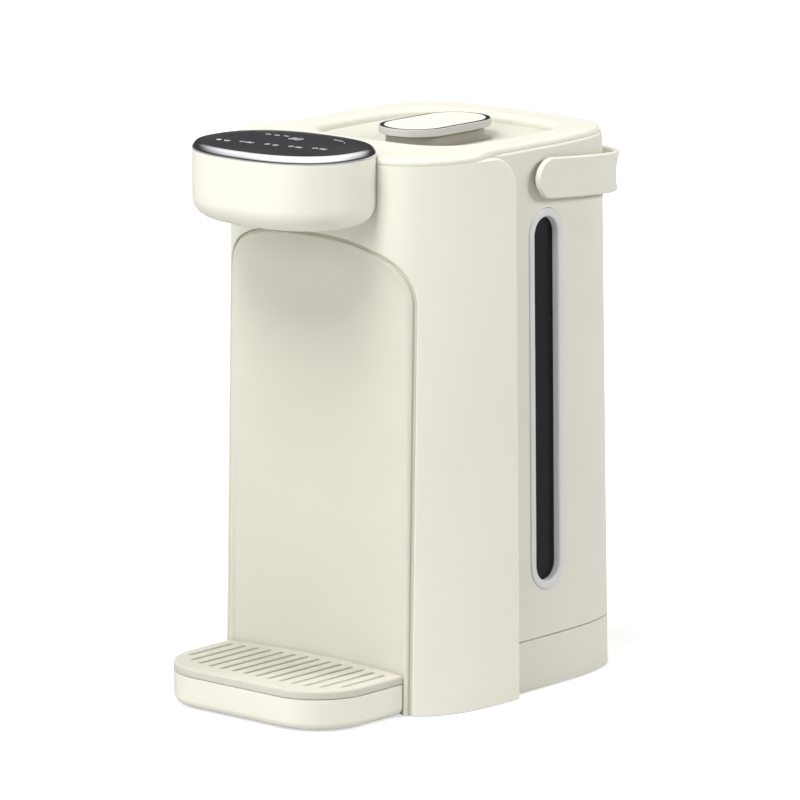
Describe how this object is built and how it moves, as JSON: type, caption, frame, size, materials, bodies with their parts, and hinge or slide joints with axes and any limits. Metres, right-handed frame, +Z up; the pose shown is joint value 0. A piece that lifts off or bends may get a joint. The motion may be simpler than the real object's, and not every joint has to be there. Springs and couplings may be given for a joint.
{
  "type": "electric thermo pot",
  "caption": "Countertop electric thermo pot: drafted cream body with an arched niche, spout head with a glass panel, slotted drip tray, lift-off lid, side level window and swinging handle.",
  "frame": {"origin": "centre of the whole object's footprint box, on the surface it stands on (underside of the feet)", "axes": "+Z up; -Y towards the spout and drip tray; +X towards the level window"},
  "size_m": [0.1906, 0.2846, 0.3413],
  "materials": {
    "cream_plastic": "fine satin moulded surface, ivory",
    "knob_white": "smooth satin white",
    "pillar_beige": "satin beige",
    "bright_trim": "bright plated",
    "control_glass": "dark polished panel",
    "window_grey": "pale grey satin",
    "window_black": "black polished",
    "gauge_clear": "clear tube",
    "nylon_white": "natural nylon",
    "pot_steel": "drawn and polished",
    "zinc_steel": "zinc plated",
    "heater_alloy": "cast, as made",
    "phenolic_brown": "phenolic",
    "ceramic_tan": "ceramic",
    "grey_silicone": "silicone",
    "clear_silicone": "translucent silicone",
    "dark_rubber": "moulded rubber",
    "black_nylon": "filled nylon",
    "circuit_green": "coated circuit board"
  },
  "bodies": {
    "body": {"front_shell": "cream_plastic", "rear_housing": "cream_plastic", "base_tub": "cream_plastic", "niche_panel": "cream_plastic", "top_frame": "cream_plastic", "head_housing": "cream_plastic", "head_ring": "bright_trim", "control_glass": "control_glass", "window_frame": "window_grey", "window_lens": "window_black", "sight_tube": "gauge_clear", "gauge_sockets": "nylon_white", "spout_nozzle": "nylon_white", "pump_body": "nylon_white", "inner_pot": "pot_steel", "pot_stand": "zinc_steel", "pump_motor": "zinc_steel", "base_screws": "zinc_steel", "heater_plate": "heater_alloy", "thermostat": "phenolic_brown", "thermal_fuse": "ceramic_tan", "pot_seal": "grey_silicone", "suction_hose": "clear_silicone", "delivery_hose": "clear_silicone", "base_feet": "dark_rubber", "pump_cradle": "dark_rubber", "power_inlet": "black_nylon", "handle_bushes": "black_nylon", "power_board": "circuit_green", "control_board": "circuit_green"},
    "lid": {"lid_plate": "cream_plastic", "lid_liner": "pot_steel", "lid_gasket": "grey_silicone", "knob_pillar": "pillar_beige", "knob_ring": "bright_trim", "knob_cap": "knob_white"},
    "handle": {"carry_handle": "cream_plastic", "handle_pins": "zinc_steel"},
    "tray": {"drip_tray": "cream_plastic", "tray_feet": "dark_rubber"},
    "grille": {"drip_grille": "cream_plastic"},
    "impeller": {"pump_impeller": "nylon_white"}
  },
  "joints": [
    {"name": "lid_lift", "type": "slide", "parent": "body", "child": "lid", "axis": [0, 0, 1], "range_m": [0, 0.06]},
    {"name": "handle_swing", "type": "hinge", "parent": "body", "child": "handle", "pos_m": [0, 0.04245, 0.3125], "axis": [1, 0, 0], "range_deg": [0, 95]},
    {"name": "tray_slide", "type": "slide", "parent": "body", "child": "tray", "axis": [0, -1, 0], "range_m": [0, 0.1]},
    {"name": "grille_lift", "type": "slide", "parent": "tray", "child": "grille", "axis": [0, 0, 1], "range_m": [0, 0.04]},
    {"name": "impeller_spin", "type": "hinge", "parent": "body", "child": "impeller", "pos_m": [0, -0.01535, 0.035], "axis": [0, 0, 1], "continuous": true}
  ]
}
